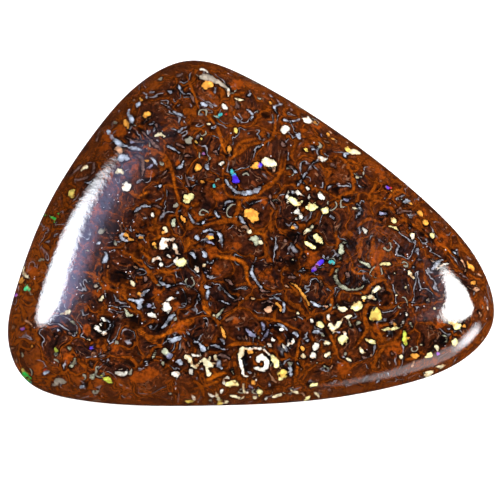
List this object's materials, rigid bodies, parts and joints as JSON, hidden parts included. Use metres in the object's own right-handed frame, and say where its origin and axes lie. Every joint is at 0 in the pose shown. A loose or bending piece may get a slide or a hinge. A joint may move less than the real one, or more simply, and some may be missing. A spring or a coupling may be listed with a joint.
{
  "type": "polished boulder opal",
  "caption": "Freeform polished boulder opal: a rounded three-cornered stone with a low domed face, soft shoulders and a flat back, for setting in jewellery.",
  "frame": {"origin": "on the flat back, under the middle of the stone's outline box", "axes": "+Z out of the domed face, +X along the stone's longest side towards its right-hand tip, +Y towards its upper corner"},
  "size_m": [0.0382, 0.0272, 0.0067],
  "materials": {
    "opal_in_ironstone": "high polish; brown ironstone with orange-brown veins, grey-blue and cream opal seams and small sparks of green, blue and violet"
  },
  "bodies": {
    "root": {"boulder_opal": "opal_in_ironstone"}
  },
  "joints": []
}
